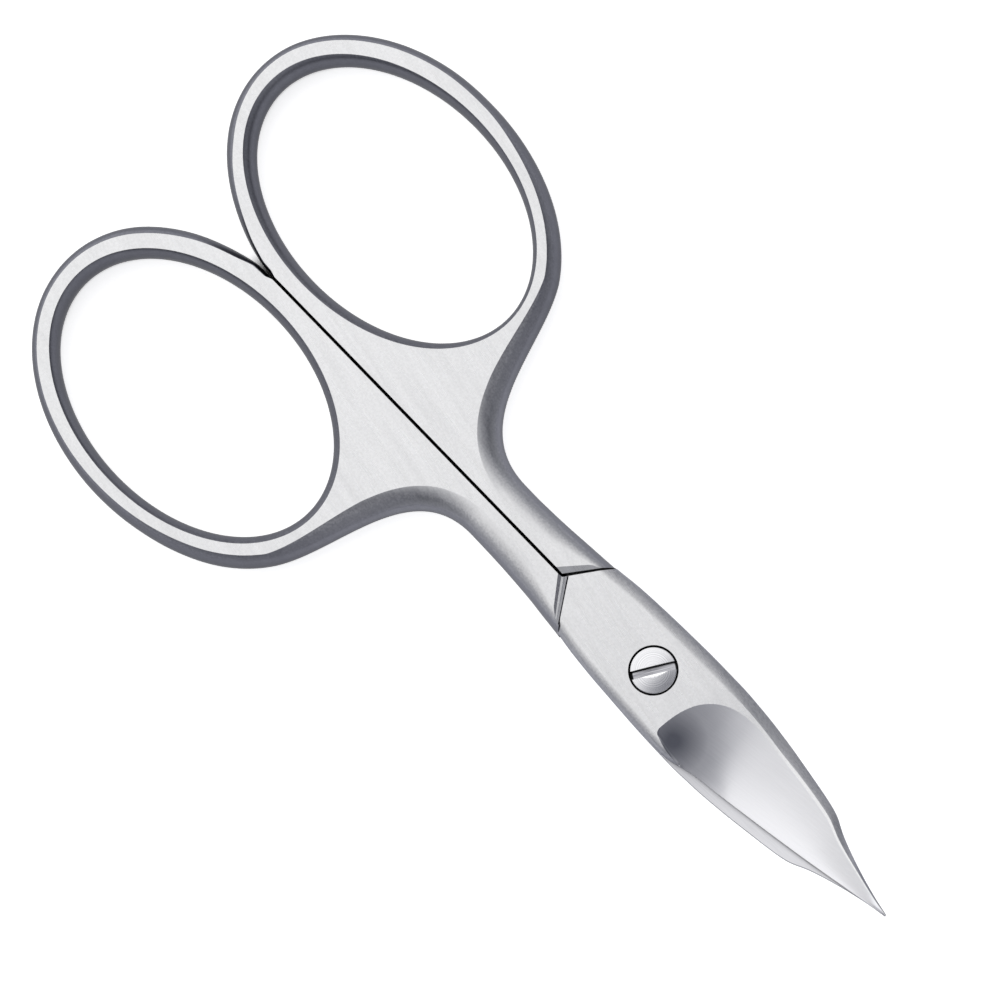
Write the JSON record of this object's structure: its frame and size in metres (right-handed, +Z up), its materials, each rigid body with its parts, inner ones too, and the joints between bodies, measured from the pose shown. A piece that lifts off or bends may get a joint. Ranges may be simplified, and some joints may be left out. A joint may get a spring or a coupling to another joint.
{
  "type": "nail scissors",
  "caption": "Curved nail scissors: two forged halves with oval finger rings and hollow-ground, up-curved blades that cross at a slotted pivot screw.",
  "frame": {"origin": "middle of the shut scissors' footprint, on the surface that they lie on", "axes": "+X from the finger rings to the blade tips, +Y toward the spine of the upper half's blade, +Z up toward the screw head"},
  "size_m": [0.0898, 0.047, 0.006],
  "materials": {
    "brushed_steel": "satin, brushed along the length",
    "screw_steel": "polished"
  },
  "bodies": {
    "lower": {"lower_half": "brushed_steel", "pivot_screw": "screw_steel"},
    "upper": {"upper_half": "brushed_steel"}
  },
  "joints": [
    {"name": "blades_open", "type": "hinge", "parent": "lower", "child": "upper", "pos_m": [0.01655, 0.00049, 0.0018], "axis": [0, 0, 1], "range_deg": [0, 70]}
  ]
}
